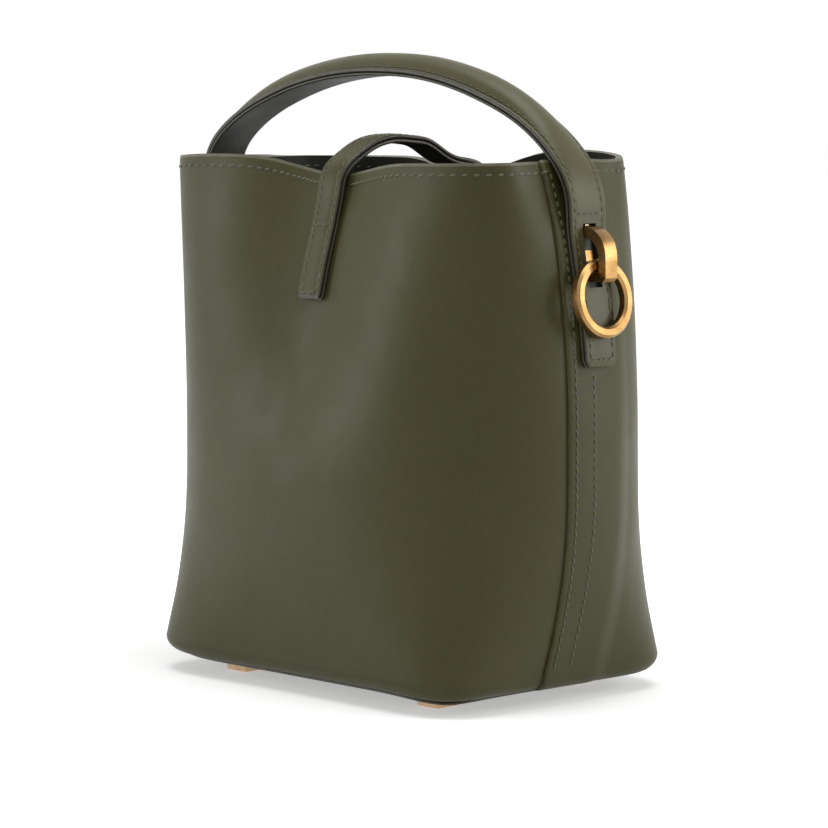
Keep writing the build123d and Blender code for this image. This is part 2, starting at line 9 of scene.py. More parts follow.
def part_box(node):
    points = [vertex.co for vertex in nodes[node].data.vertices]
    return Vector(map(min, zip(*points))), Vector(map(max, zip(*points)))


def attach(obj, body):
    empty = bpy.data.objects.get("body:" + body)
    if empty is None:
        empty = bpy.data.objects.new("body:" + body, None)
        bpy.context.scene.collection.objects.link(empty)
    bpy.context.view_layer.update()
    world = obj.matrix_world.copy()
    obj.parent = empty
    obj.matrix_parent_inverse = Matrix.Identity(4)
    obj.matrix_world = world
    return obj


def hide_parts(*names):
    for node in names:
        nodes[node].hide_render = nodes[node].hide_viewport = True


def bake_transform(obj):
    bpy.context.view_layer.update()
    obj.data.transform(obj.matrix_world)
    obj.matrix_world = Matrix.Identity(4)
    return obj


# ------------------------------------------------------------------ camera
TURN = math.radians(226.35)
PITCH = math.radians(5.44)
DISTANCE, HEIGHT, ASIDE = 1.6327, 0.287, 0.00274
LENS, SENSOR = 143.5, 36
forward = Vector((-math.sin(TURN), math.cos(TURN), 0))
right = Vector((math.cos(TURN), math.sin(TURN), 0))
camera = bpy.data.objects.new("camera", bpy.data.cameras.new("camera"))
camera.data.lens = LENS
camera.data.sensor_width = SENSOR
camera.data.clip_start = 0.05
camera.location = -forward * DISTANCE + right * ASIDE + Vector((0, 0, HEIGHT))
camera.rotation_euler = (math.pi / 2 - PITCH, 0, TURN)
bpy.context.scene.collection.objects.link(camera)
bpy.context.scene.camera = camera

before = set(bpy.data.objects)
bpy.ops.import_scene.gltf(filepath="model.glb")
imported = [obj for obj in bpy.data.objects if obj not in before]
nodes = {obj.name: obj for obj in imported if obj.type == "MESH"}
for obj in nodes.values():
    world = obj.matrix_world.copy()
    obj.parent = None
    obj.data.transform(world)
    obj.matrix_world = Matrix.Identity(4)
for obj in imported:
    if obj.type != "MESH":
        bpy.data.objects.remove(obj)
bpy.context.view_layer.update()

MM = 0.001
LEATHER = 1.8 * MM
FACING = 1.5 * MM
GAP = 0.1 * MM


# ------------------------------------------------------------------ materials
# Noise scales are per metre of the object, and bump distances are in metres.
def material(name, metallic=0.0, specular=0.5, sheen=0.0, sheen_tint=(1, 1, 1)):
    mat = bpy.data.materials.new(name)
    mat.use_nodes = True
    tree = mat.node_tree
    shader = tree.nodes["Principled BSDF"]
    shader.inputs["Metallic"].default_value = metallic
    shader.inputs["Specular IOR Level"].default_value = specular
    shader.inputs["Sheen Weight"].default_value = sheen
    shader.inputs["Sheen Tint"].default_value = (*sheen_tint, 1)
    shader.inputs["Sheen Roughness"].default_value = 0.4
    coords = tree.nodes.new("ShaderNodeTexCoord")
    return mat, tree, shader, coords.outputs["Object"]


def noise_node(tree, coords, scale, detail=3.0, stretch=None):
    if stretch:
        mapping = tree.nodes.new("ShaderNodeMapping")
        mapping.inputs["Scale"].default_value = stretch
        tree.links.new(coords, mapping.inputs["Vector"])
        coords = mapping.outputs["Vector"]
    node = tree.nodes.new("ShaderNodeTexNoise")
    node.inputs["Scale"].default_value = scale
    node.inputs["Detail"].default_value = detail
    tree.links.new(coords, node.inputs["Vector"])
    return node.outputs["Fac"]


def ramp(tree, value, stops):
    node = tree.nodes.new("ShaderNodeValToRGB")
    elements = node.color_ramp.elements
    while len(elements) < len(stops):
        elements.new(0.5)
    for element, (place, colour) in zip(elements, stops):
        element.position = place
        element.color = (*colour, 1)
    tree.links.new(value, node.inputs["Fac"])
    return node.outputs["Color"]


def paint(tree, shader, value, dark, light, span=(0.30, 0.70)):
    """Base colour from dark to light while value goes over span."""
    colour = ramp(tree, value, [(span[0], dark), (span[1], light)])
    tree.links.new(colour, shader.inputs["Base Color"])


def gloss(tree, shader, value, smooth, rough):
    """Roughness from smooth to rough while value goes from 0.3 to 0.7."""
    level_of = ramp(tree, value, [(0.3, (smooth,) * 3), (0.7, (rough,) * 3)])
    tree.links.new(level_of, shader.inputs["Roughness"])


def maths(tree, operation, *values):
    """Math node's output; each value is a number or another node's output."""
    node = tree.nodes.new("ShaderNodeMath")
    node.operation = operation
    for socket, value in zip(node.inputs, values):
        if isinstance(value, float):
            socket.default_value = value
        else:
            tree.links.new(value, socket)
    return node.outputs[0]


def bump(tree, shader, layers):
    """Bump from (height output, strength, distance) layers, one on top of the other."""
    last = None
    for height, strength, distance in layers:
        node = tree.nodes.new("ShaderNodeBump")
        node.inputs["Strength"].default_value = strength
        node.inputs["Distance"].default_value = distance
        tree.links.new(height, node.inputs["Height"])
        if last:
            tree.links.new(last, node.inputs["Normal"])
        last = node.outputs["Normal"]
    tree.links.new(last, shader.inputs["Normal"])


def leather(name, dark, light, rough=(0.43, 0.51), pores=0.16, sheen=0.02, specular=0.26):
    mat, tree, shader, at = material(name, specular=specular, sheen=sheen,
                                     sheen_tint=(0.80, 0.86, 0.74))
    broad = maths(tree, "MULTIPLY", noise_node(tree, at, 16, 4), 0.65)
    mottled = maths(tree, "MULTIPLY_ADD", noise_node(tree, at, 210, 5), 0.35, broad)
    paint(tree, shader, mottled, dark, light)
    gloss(tree, shader, noise_node(tree, at, 45, 4), *rough)
    cells = tree.nodes.new("ShaderNodeTexVoronoi")
    cells.feature = "DISTANCE_TO_EDGE"
    cells.inputs["Scale"].default_value = 900
    tree.links.new(at, cells.inputs["Vector"])
    bump(tree, shader, [(noise_node(tree, at, 60, 3), 0.16, 0.0010),
                        (cells.outputs["Distance"], pores, 0.0003),
                        (noise_node(tree, at, 1500, 2), pores * 0.8, 0.0002)])
    return mat


def painted_edge(name, dark, light):
    mat, tree, shader, at = material(name, specular=0.5)
    paint(tree, shader, noise_node(tree, at, 160, 4), dark, light, (0.32, 0.68))
    gloss(tree, shader, noise_node(tree, at, 300, 2), 0.34, 0.5)
    bump(tree, shader, [(noise_node(tree, at, 500, 3), 0.25, 0.0003)])
    return mat


def thread(name, dark, light):
    mat, tree, shader, at = material(name, specular=0.35, sheen=0.2)
    twist = tree.nodes.new("ShaderNodeTexWave")
    twist.wave_type = "BANDS"
    twist.bands_direction = "DIAGONAL"
    twist.inputs["Scale"].default_value = 900
    tree.links.new(at, twist.inputs["Vector"])
    paint(tree, shader, twist.outputs["Fac"], dark, light, (0.2, 0.8))
    gloss(tree, shader, noise_node(tree, at, 800, 2), 0.5, 0.65)
    bump(tree, shader, [(twist.outputs["Fac"], 0.3, 0.0002)])
    return mat


def suede(name, dark, light):
    mat, tree, shader, at = material(name, specular=0.15, sheen=0.5, sheen_tint=(0.7, 0.75, 0.6))
    paint(tree, shader, noise_node(tree, at, 35, 5), dark, light)
    nap = noise_node(tree, at, 2200, 3)
    gloss(tree, shader, nap, 0.82, 0.95)
    bump(tree, shader, [(noise_node(tree, at, 90, 3), 0.2, 0.001), (nap, 0.4, 0.0003)])
    return mat


def brass(name, dark, light, rough):
    mat, tree, shader, at = material(name, metallic=1.0, specular=0.5)
    paint(tree, shader, noise_node(tree, at, 90, 5), dark, light, (0.30, 0.68))
    brushed = noise_node(tree, at, 260, 4, stretch=(1, 1, 14))
    gloss(tree, shader, brushed, *rough)
    bump(tree, shader, [(brushed, 0.12, 0.0002), (noise_node(tree, at, 420, 4), 0.10, 0.0002)])
    return mat


def board(name, dark, light):
    mat, tree, shader, at = material(name, specular=0.2)
    fibres = noise_node(tree, at, 400, 4, stretch=(1, 6, 1))
    paint(tree, shader, fibres, dark, light)
    gloss(tree, shader, noise_node(tree, at, 120, 2), 0.75, 0.9)
    bump(tree, shader, [(fibres, 0.3, 0.0004)])
    return mat


OLIVE = leather("olive_leather", (0.044, 0.0412, 0.0105), (0.057, 0.0535, 0.0150))
STRAP = leather("olive_strap_leather", (0.047, 0.0435, 0.012), (0.062, 0.0575, 0.017), pores=0.14)
# Lighter copy of the olive leather for the handle's top layer: painted light, for a handle lit
# from above.
LIT_GRIP = leather("olive_grip_leather_painted_light", (0.060, 0.056, 0.018), (0.078, 0.073, 0.025),
               rough=(0.34, 0.46), pores=0.14, specular=0.32)
# Darker copy of the olive leather for the faces inside the bag: painted shade of the bag's
# inside.
SHADED_INNER = leather("olive_inner_leather_painted_shade", (0.020, 0.022, 0.015), (0.032, 0.034, 0.023),
                rough=(0.55, 0.7), sheen=0.02, specular=0.3)
# Darker copy of the olive leather for the straps' undersides: painted shade.
SHADED_UNDER = leather("olive_under_leather_painted_shade", (0.016, 0.018, 0.012), (0.028, 0.030, 0.020),
                rough=(0.5, 0.62), sheen=0.02, specular=0.35)
EDGE = painted_edge("painted_edge", (0.024, 0.021, 0.009), (0.040, 0.036, 0.016))
# Edge paint of the rim and the wall pieces' edges, made lighter than EDGE: edge paint and painted
# highlight along these edges.
RIM_EDGE_PAINT_AND_HIGHLIGHT = painted_edge("rim_edge_paint_and_highlight", (0.085, 0.080, 0.046), (0.130, 0.122, 0.075))
# Thread made lighter than the leather: the thread's own colour plus painted highlight on the
# raised stitches.
THREAD_AND_HIGHLIGHT = thread("olive_thread_and_highlight", (0.080, 0.075, 0.032), (0.165, 0.156, 0.080))
# Near-black colour of flat discs at the stitches' ends: painted shade of the stitch holes.
HOLE_SHADE = painted_edge("painted_shade_in_stitch_holes", (0.006, 0.006, 0.004), (0.012, 0.012, 0.008))
LINING = suede("lining_suede", (0.020, 0.021, 0.015), (0.036, 0.037, 0.026))
BRASS = brass("brushed_brass", (0.21, 0.112, 0.038), (0.38, 0.23, 0.088), (0.24, 0.36))
PALE_BRASS = brass("pale_brass", (0.62, 0.43, 0.26), (0.80, 0.59, 0.38), (0.30, 0.45))
BOARD = board("stiffener_board", (0.20, 0.19, 0.15), (0.30, 0.285, 0.23))
FELT = suede("felt_padding", (0.45, 0.45, 0.40), (0.60, 0.60, 0.54))


# ------------------------------------------------------------------ mesh tools
SHARP = math.radians(50)
STITCH_SIDES = 6


def mesh_object(name, points, faces, kinds, mats):
    mesh = bpy.data.meshes.new(name)
    mesh.from_pydata([tuple(p) for p in points], [], faces)
    for mat in mats:
        mesh.materials.append(mat)
    mesh.polygons.foreach_set("material_index", kinds)
    mesh.shade_smooth()
    mesh.update()
    obj = bpy.data.objects.new(name, mesh)
    bpy.context.scene.collection.objects.link(obj)
    return obj


def shell(name, outer, inner, mats, keep=None, loop=False, edges=None):
    """Solid skin between two grids of points, rows by columns; keep drops cells.

    mats are those of the outer face, the inner face and the edges; edges marks more cells
    of the outer grid that take the edge's material."""
    rows, cols = outer.shape[:2]
    wide = cols if loop else cols - 1
    keep = np.ones((rows - 1, wide), bool) if keep is None else keep
    number = np.arange(rows * cols).reshape(rows, cols)
    after = np.roll(number, -1, 1)
    cells = np.stack([number[:-1, :wide], after[:-1, :wide],
                      after[1:, :wide], number[1:, :wide]], -1)
    quads = cells[keep]
    faces = quads.tolist() + (quads[:, ::-1] + rows * cols).tolist()
    marks = np.zeros((rows - 1, wide), int)
    if edges is not None:
        marks[edges] = 2
    kinds = marks[keep].tolist() + np.where(marks[keep] == 2, 2, 1).tolist()
    kept = np.pad(keep, 1)
    if loop:
        kept[:, 0], kept[:, -1] = kept[:, -2], kept[:, 1]
    for neighbour, ends in ((kept[:-2, 1:-1], (0, 1)), (kept[2:, 1:-1], (2, 3)),
                            (kept[1:-1, :-2], (3, 0)), (kept[1:-1, 2:], (1, 2))):
        corners = cells[keep & ~neighbour]
        first, second = corners[:, ends[0]], corners[:, ends[1]]
        walls = np.stack([second, first, first + rows * cols, second + rows * cols], -1)
        faces += walls.tolist()
        kinds += [2] * len(walls)
    points = np.concatenate([outer.reshape(-1, 3), inner.reshape(-1, 3)])
    used = np.unique(np.array([v for face in faces for v in face]))
    place = np.full(len(points), -1)
    place[used] = np.arange(len(used))
    faces = [[int(place[v]) for v in face] for face in faces]
    obj = mesh_object(name, points[used], faces, kinds, mats)
    bm = bmesh.new()
    bm.from_mesh(obj.data)
    bmesh.ops.recalc_face_normals(bm, faces=bm.faces)
    bm.to_mesh(obj.data)
    bm.free()
    obj.data.set_sharp_from_angle(angle=SHARP)
    return obj


def unit(v):
    return v / np.maximum(np.linalg.norm(v, axis=-1, keepdims=True), 1e-12)


def run_of(points):
    """Distance along a polyline to each of its points."""
    return np.concatenate([[0], np.cumsum(np.linalg.norm(np.diff(points, axis=0), axis=1))])


def along_line(points, step):
    """Points evenly spaced along a polyline."""
    points = np.asarray(points, float)
    run = run_of(points)
    at = np.linspace(0, run[-1], max(2, round(run[-1] / step) + 1))
    return np.stack([np.interp(at, run, points[:, k]) for k in range(points.shape[1])], -1)


def softened(points, times, loop=False):
    points = np.array(points, float)
    for _ in range(times):
        if loop:
            points = (np.roll(points, 1, 0) + 2 * points + np.roll(points, -1, 0)) / 4
        else:
            points[1:-1] = (points[:-2] + 2 * points[1:-1] + points[2:]) / 4
    return points


def tree_of(*names):
    points, faces = [], []
    for name in names:
        mesh = nodes[name].data
        faces += [[v + len(points) for v in face.vertices] for face in mesh.polygons]
        points += [v.co.copy() for v in mesh.vertices]
    return BVHTree.FromPolygons(points, faces)


def stitch_rings(sizes):
    """Rings of points round X; each size is (place, width, drop, flatness) in metres."""
    points = []
    for place, wide, high, flat in sizes:
        for k in range(STITCH_SIDES):
            turn = math.tau * k / STITCH_SIDES
            points.append((place, wide * math.cos(turn), high + flat * math.sin(turn)))
    return np.array(points)


def stitch_body(length, width, height):
    """One stitch along +X, half sunk at z = 0."""
    shape = ((-1.0, 0.30, -0.55), (-0.72, 0.86, 0.30), (-0.3, 1.0, 0.78), (0.3, 1.0, 0.78),
             (0.72, 0.86, 0.30), (1.0, 0.30, -0.55))
    points = stitch_rings([(place * length / 2, 0.5 * width * wide, height * high,
                            0.5 * width * wide * 0.7) for place, wide, high in shape])
    n = STITCH_SIDES
    faces = [[r * n + k, r * n + (k + 1) % n, (r + 1) * n + (k + 1) % n, (r + 1) * n + k]
             for r in range(len(shape) - 1) for k in range(n)]
    faces += [list(range(n))[::-1], list(range(len(points) - n, len(points)))]
    return points, faces


def stitch_holes(length, width, height):
    """Flat dark discs at a stitch's two ends: painted shade in place of the holes."""
    points = [(end * length / 2 + 0.42 * width * math.cos(turn), 0.62 * width * math.sin(turn),
               height)
              for end in (-1, 1) for turn in np.arange(STITCH_SIDES) * math.tau / STITCH_SIDES]
    return np.array(points), [list(range(STITCH_SIDES)),
                              list(range(STITCH_SIDES, 2 * STITCH_SIDES))]


def stitches(name, rows, length=2.9 * MM, width=1.05 * MM, slant=0.20):
    """Stitches of one piece; rows lists (point, direction, normal) triples."""
    body, body_faces = stitch_body(length, width, 0.20 * MM)
    hole, hole_faces = stitch_holes(length * 1.16, width * 1.25, 0.05 * MM)
    points, faces, kinds = [], [], []
    start = 0
    for p, d, n in rows:
        d, n = unit(np.asarray(d, float)), unit(np.asarray(n, float))
        n = unit(n - d * np.dot(n, d))
        across = np.cross(n, d)
        d, across = unit(d + across * slant), unit(across - d * slant)
        turn = np.stack([d, across, n])
        # Each stitch is a thread body plus flat dark discs at its ends, painted shade in place of
        # the holes.
        for shape, shape_faces, kind in ((body, body_faces, 0), (hole, hole_faces, 1)):
            points.append(shape @ turn + np.asarray(p, float))
            faces += [[v + start for v in face] for face in shape_faces]
            kinds += [kind] * len(shape_faces)
            start += len(shape)
    return mesh_object(name, np.concatenate(points), faces, kinds, [THREAD_AND_HIGHLIGHT, HOLE_SHADE])


# ------------------------------------------------------------------ form of the walls
wall_tree = tree_of("front_panel", "back_panel")
MID_X = 2 * MM                 # the rays start on this line up through the bag
WALL_LOW = 16.5 * MM           # lowest level of the upright wall
RIM_HEIGHT = 258 * MM
RIM_RANGE = (235 * MM, 275 * MM)
LAP_Y = 17 * MM                # the front skin's edges on the side walls
RIM_PAINT = 0.45 * MM          # how far the painted rim edge is rounded off
WALL_MM, RIM_PAINT_MM = 240, 0.9    # the wall's height, and how far down that rounding goes
BAND_ROW_MM = 3.2              # height of a band's rows
STRAY = 0.9 * MM               # a ray that differs this much has hit another part
TURNS = 360
LEVELS = 112


def cast(tree, origin, direction):
    hit = tree.ray_cast(Vector(origin), Vector(direction))[0]
    return None if hit is None else np.array(hit)


def wall_hit(turn, z):
    """Where a level ray from the bag's middle meets the wall, or None over the rim."""
    return cast(wall_tree, (MID_X, 0, z), (math.cos(turn), math.sin(turn), 0))


def rim_height(turn):
    """Height of the rim in one direction from the bag's middle."""
    low, high = RIM_RANGE
    for _ in range(12):
        middle = (low + high) / 2
        if wall_hit(turn, middle) is None:
            high = middle
        else:
            low = middle
    return low


turns = np.arange(TURNS) * math.tau / TURNS
rims = softened(np.array([rim_height(t) for t in turns]), 2, loop=True) - 0.2 * MM
reach = np.full((LEVELS, TURNS), math.nan)
for j, t in enumerate(turns):
    for i, part in enumerate(np.linspace(0, 1, LEVELS)):
        hit = wall_hit(t, WALL_LOW + (rims[j] - WALL_LOW) * part)
        if hit is not None:
            reach[i, j] = np.hypot(hit[0] - MID_X, hit[1])
for _ in range(2):
    beside = (np.roll(reach, 2, 1) + np.roll(reach, -2, 1)) / 2
    odd = np.isnan(reach) | (np.abs(reach - beside) > STRAY)
    reach[odd & ~np.isnan(beside)] = beside[odd & ~np.isnan(beside)]
for row in reach:
    open_at = np.isnan(row)    # the rays through the snap's bore hit nothing
    if open_at.any():
        row[open_at] = np.interp(np.flatnonzero(open_at), np.flatnonzero(~open_at),
                                 row[~open_at])
reach = softened(reach.T, 2, loop=True).T
reach = softened(reach, 2)


def level(z_share, turn):
    """Inner face of the wall by share of its height and turn, read from the grid."""
    row = np.clip(np.asarray(z_share, float), 0, 1) * (LEVELS - 1)
    col = (np.asarray(turn, float) % math.tau) / math.tau * TURNS
    i = np.minimum(row.astype(int), LEVELS - 2)
    j = col.astype(int) % TURNS
    u, v = row - i, col - np.floor(col)
    k = (j + 1) % TURNS
    r = ((reach[i, j] * (1 - v) + reach[i, k] * v) * (1 - u)
         + (reach[i + 1, j] * (1 - v) + reach[i + 1, k] * v) * u)
    top = rims[j] * (1 - v) + rims[k] * v
    z = WALL_LOW + (top - WALL_LOW) * np.clip(np.asarray(z_share, float), 0, 1)
    return np.stack([MID_X + r * np.cos(turn), r * np.sin(turn), z], -1)


def fade(value, start, end):
    """Smooth step from 0 at start to 1 at end."""
    t = np.clip((value - start) / (end - start), 0, 1)
    return t * t * (3 - 2 * t)


def slack(points):
    """Soft unevenness of the leather, nothing where a strap, a tab or the base holds it."""
    flat = points.reshape(-1, 3)
    wave = np.array([noise.noise(Vector((p[0] * 15, p[1] * 15, p[2] * 9 + 4.0)))
                     + 0.2 * noise.noise(Vector((p[0] * 34, p[1] * 34, p[2] * 26 + 9.0)))
                     for p in flat]).reshape(points.shape[:-1])
    x, y, z = points[..., 0], points[..., 1], points[..., 2]
    held = fade(np.abs(y), 0.022, 0.042) * fade(np.abs(x), 0.014, 0.034)
    return wave * held * fade(z, 0.016, 0.05) * 0.85 * MM


def normals(points, loop):
    """Unit normals of a wall's grid, away from the bag's middle."""
    if loop:
        across = np.roll(points, -1, 1) - np.roll(points, 1, 1)
    else:
        across = np.gradient(points, axis=1)
    up = np.gradient(points, axis=0)
    square = unit(np.cross(across, up))
    outwards = np.sum(square * points * (1, 1, 0), axis=-1, keepdims=True)
    return np.where(outwards < 0, -square, square)


# (turn in degrees, width in radians, rise in mm) of each soft wave
RIM_SWAYS = ((219, 0.30, 4.6), (36, 0.34, 1.6), (134, 0.30, -0.8), (270, 0.36, -3.9))
CORNER_SAGS = ((143, 0.17, 2.0), (217, 0.3, 0.9), (37, 0.3, 0.4))


def swell(turn, centre, width):
    """Bell round one turn, 1 in its middle."""
    return np.exp(-(((turn - math.radians(centre) + math.pi) % math.tau - math.pi) / width) ** 2)


def rim_sway(turn):
    return sum(high * MM * swell(turn, centre, width) for centre, width, high in RIM_SWAYS)


def sag(turn):
    """Droop of the base's soft corners between the feet and the floor."""
    return sum(high * MM * swell(turn, centre, width) for centre, width, high in CORNER_SAGS)


def fullness(z_share, turn):
    """How far the soft corners stand out from the resting frame."""
    part = np.clip(np.asarray(z_share, float), 0, 1)
    left = swell(turn, 37, 0.34) * (1.3 + 2.0 * part ** 2 + 1.9 * (1 - part) ** 4)
    far = swell(turn, 217, 0.34) * (2.8 * (1 - part) ** 3 - 0.9 * np.sin(math.pi * part))
    return (left + far) * MM


def wall_at(z_share, turn, out, loop=False):
    """Grid of wall points, moved out from the inner face by out, with slack and sway."""
    points = level(z_share, turn)
    square = normals(points, loop)
    points = points + square * (out + slack(points) + fullness(z_share, turn))[..., None]
    points[..., 2] -= sag(turn) * (1 - np.clip(z_share, 0, 1)) ** 7
    points[..., 2] += rim_sway(turn) * np.asarray(z_share) ** 3
    return points, square


def turn_at(y, side, shares):
    """Turn at which a side wall reaches y, for each share of the height."""
    turn = np.full(len(shares), 0.0 if side > 0 else math.pi)
    for _ in range(8):
        r = np.linalg.norm(level(shares, turn)[:, :2] - (MID_X, 0), axis=1)
        turn = np.arcsin(np.clip(y / r, -1, 1))
        turn = turn if side > 0 else math.pi - turn
    return turn


def panel_grid(y_edge, end, shares, parts):
    """Turns of a panel's grid from one side wall round the front (-1) or back (1)."""
    first, last = turn_at(y_edge, 1, shares), turn_at(y_edge, -1, shares)
    if end < 0:
        last = last - math.tau
    return first[:, None] + (last - first)[:, None] * parts[None, :]


BEND_ROWS = 9
BEND_LOW_Z = 9.05 * MM         # the wall's turned-under edge lies on the base skin
TURN_UNDER = 4 * MM            # flat margin past the bend


def bend_rows(points, square):
    """Rows that turn the lower edge of a wall under the base, from inside to upright."""
    low, side = points[0], unit(square[0] * (1, 1, 0))
    radius = WALL_LOW - BEND_LOW_Z
    rows = []
    for k in range(BEND_ROWS):
        phi = math.pi / 2 * (1 - k / BEND_ROWS)
        row = low - side * radius * (1 - math.cos(phi))
        row[..., 2:3] = low[..., 2:3] - radius * math.sin(phi)
        rows.append(row)
    return np.stack([rows[0] - side * TURN_UNDER] + rows)


# ------------------------------------------------------------------ outer leather
def lap_rise(y):
    """How far the front skin's outer face is lifted where it goes over the back skin."""
    return LEATHER * fade(y, -0.028, -0.014) + GAP


def skin(name, y_edge, end, lap, cols):
    """Outer leather of one side; lap says that its edges lie over the other side's."""
    shares = np.concatenate([np.linspace(0, 0.97, 96), [0.98, 0.988, 0.994, 0.998, 1.0]])
    close = np.array([0, 0.0012, 0.0035, 0.008])       # columns crowd at the two edges
    parts = np.concatenate([close, np.linspace(0.014, 0.986, cols), 1 - close[::-1]])
    turn = panel_grid(y_edge, end, shares, parts)
    share_grid = np.repeat(shares[:, None], turn.shape[1], 1)
    y = level(share_grid, turn)[..., 1]
    rise, under = np.zeros_like(y), np.zeros_like(y)
    if lap:
        column = np.arange(len(parts))
        from_edge = np.minimum(column, column[::-1])
        rise = lap_rise(y) - 0.55 * MM * np.exp(-from_edge / 1.3)[None, :]
        under = np.where(y > 0, LEATHER + 2 * GAP, 0)
    rim_round = RIM_PAINT * np.exp(-(1 - share_grid) * WALL_MM / RIM_PAINT_MM)
    outer, square = wall_at(share_grid, turn, LEATHER + rise - rim_round)
    inner, _ = wall_at(share_grid, turn, under)
    low_outer = bend_rows(outer, square)
    low_inner = bend_rows(inner, square)
    low_inner[..., 2] = np.maximum(low_inner[..., 2], low_outer[..., 2] + 1.2 * MM)
    outer = np.concatenate([low_outer, outer])
    inner = np.concatenate([low_inner, inner])
    edges = np.zeros((outer.shape[0] - 1, outer.shape[1] - 1), bool)
    edges[-2:, :] = True
    # The inner face takes the darker inside leather (painted shade), and the edges the lighter
    # rim edge (painted highlight).
    obj = shell(name, outer, inner, [OLIVE, SHADED_INNER, RIM_EDGE_PAINT_AND_HIGHLIGHT], edges=edges)
    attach(obj, "bag")
    return obj


front_skin = skin("front_skin", LAP_Y, -1, True, 260)
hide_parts("front_panel")
back_skin = skin("back_skin", 0.4 * MM, 1, False, 240)
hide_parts("back_panel")


# ------------------------------------------------------------------ inside
def band(name, low, high, out, thick, mats, cols, wrinkle=0.0):
    """Sheet all round the inside of the wall, out (negative) from its inner face."""
    rows = max(8, round((high - low) * WALL_MM / BAND_ROW_MM))
    shares = np.linspace(low, high, rows)
    turn = np.repeat((np.arange(cols) * math.tau / cols)[None, :], rows, 0)
    share_grid = np.repeat(shares[:, None], cols, 1)
    face = -GAP + out + 0 * turn
    if wrinkle:
        points = level(share_grid, turn)
        wave = np.array([noise.noise(Vector((p[0] * 42, p[1] * 42, p[2] * 17 + 2)))
                         for p in points.reshape(-1, 3)]).reshape(turn.shape)
        face = face - wrinkle * (0.5 + 0.5 * wave) * fade(share_grid, 0.0, 0.1)
    outer, square = wall_at(share_grid, turn, face, loop=True)
    inner = outer - square * thick
    obj = shell(name, inner, outer, mats, loop=True)
    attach(obj, "bag")
    return obj


def share_of(z):
    return (z - WALL_LOW) / (RIM_HEIGHT - WALL_LOW)


FACING_LOW = 193 * MM
LINING_TOP = FACING_LOW - 0.5 * MM
# The facing takes the darker inside leather (painted shade), and its edges the lighter rim edge
# (painted highlight).
facing = band("facing_band", share_of(FACING_LOW), 1.0, 0, FACING,
              [SHADED_INNER, SHADED_INNER, RIM_EDGE_PAINT_AND_HIGHLIGHT], 300)
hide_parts("facing_front", "facing_back")
lining = band("lining_wall", 0.0, share_of(LINING_TOP), -0.1 * MM, 0.9 * MM,
              [LINING, LINING, LINING], 280, wrinkle=0.9 * MM)
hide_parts("lining_front", "lining_back")


DISC_RINGS, DISC_COLUMNS = 26, 200


def disc(name, low, high, inset, mats, puff=0.0, droops=False):
    """Flat piece that fills the plan of the base, its edge in from the wall by inset."""
    around = np.arange(DISC_COLUMNS) * math.tau / DISC_COLUMNS
    rim = level(0 * around, around)
    across = np.roll(rim, -1, 0) - np.roll(rim, 1, 0)
    side = unit(np.stack([across[:, 1], -across[:, 0], 0 * across[:, 0]], -1))
    rim = rim - side * inset
    parts = np.concatenate([np.linspace(0.004, 1, DISC_RINGS)[:-1], [0.985, 0.995, 1.0]])
    top, bottom = [], []
    for p in parts:
        ring = rim * (p, p, 0)
        soft = np.array([noise.noise(Vector((q[0] * 25, q[1] * 25, 3.0))) for q in ring])
        round_off = (high - low) * 0.30 * fade(p, 0.985, 1.0)
        if droops:
            ring[:, 2] -= sag(around) * p ** 9
        up, down = ring.copy(), ring.copy()
        up[:, 2] += high - round_off + puff * (1 - p ** 6) * (0.7 + 0.5 * soft)
        down[:, 2] += low + round_off
        top.append(up)
        bottom.append(down)
    obj = shell(name, np.stack(top), np.stack(bottom), mats, loop=True)
    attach(obj, "bag")
    return obj


base_skin = disc("base_skin", 7.0 * MM, 8.95 * MM, 6.4 * MM, [OLIVE, OLIVE, EDGE], droops=True)
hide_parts("base_panel")
base_pad = disc("base_pad", 12.9 * MM, 14.7 * MM, 4.0 * MM, [FELT, FELT, FELT])
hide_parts("base_foam")
floor_lining = disc("lining_base", 14.85 * MM, 15.8 * MM, 2.6 * MM, [LINING, LINING, LINING],
                    puff=0.9 * MM)
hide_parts("lining_floor")


# ------------------------------------------------------------------ handle
# Middle of the strap over the mouth, left to right as x and z in mm
ARCH = ((-122.6, 238.0), (-118.2, 249.6), (-109.2, 262.0), (-98.5, 272.2), (-85.7, 281.3),
        (-69.5, 289.2), (-51.8, 295.4), (-32.0, 300.5), (-11.0, 303.7), (17.0, 304.8),
        (36.5, 304.0), (54.0, 302.0), (73.5, 298.3), (91.5, 293.1), (108.5, 286.3),
        (122.0, 278.4), (134.0, 269.2), (142.4, 258.5), (142.4, 247.5), (136.6, 237.0))
STRAP_LOW = 4.0 * MM           # thickness of the two sewn leathers
GRIP_RISE = 7.2 * MM           # what the padding adds in the grip
HANDLE_STEP = 1.6 * MM
TAB_RUN = 90 * MM              # the tabs end within this run from the strap's ends
SEAM_OUT = 9.2 * MM            # where the grip's padding stops, from the middle
SLOT_Z = (199.2 * MM, 229.3 * MM)
SLOT_HALF = 4.4 * MM
SLOT_SHARE = 0.3667            # column that the slot's long sides take
END_CORNER = 4 * MM            # radius of the tabs' lower corners


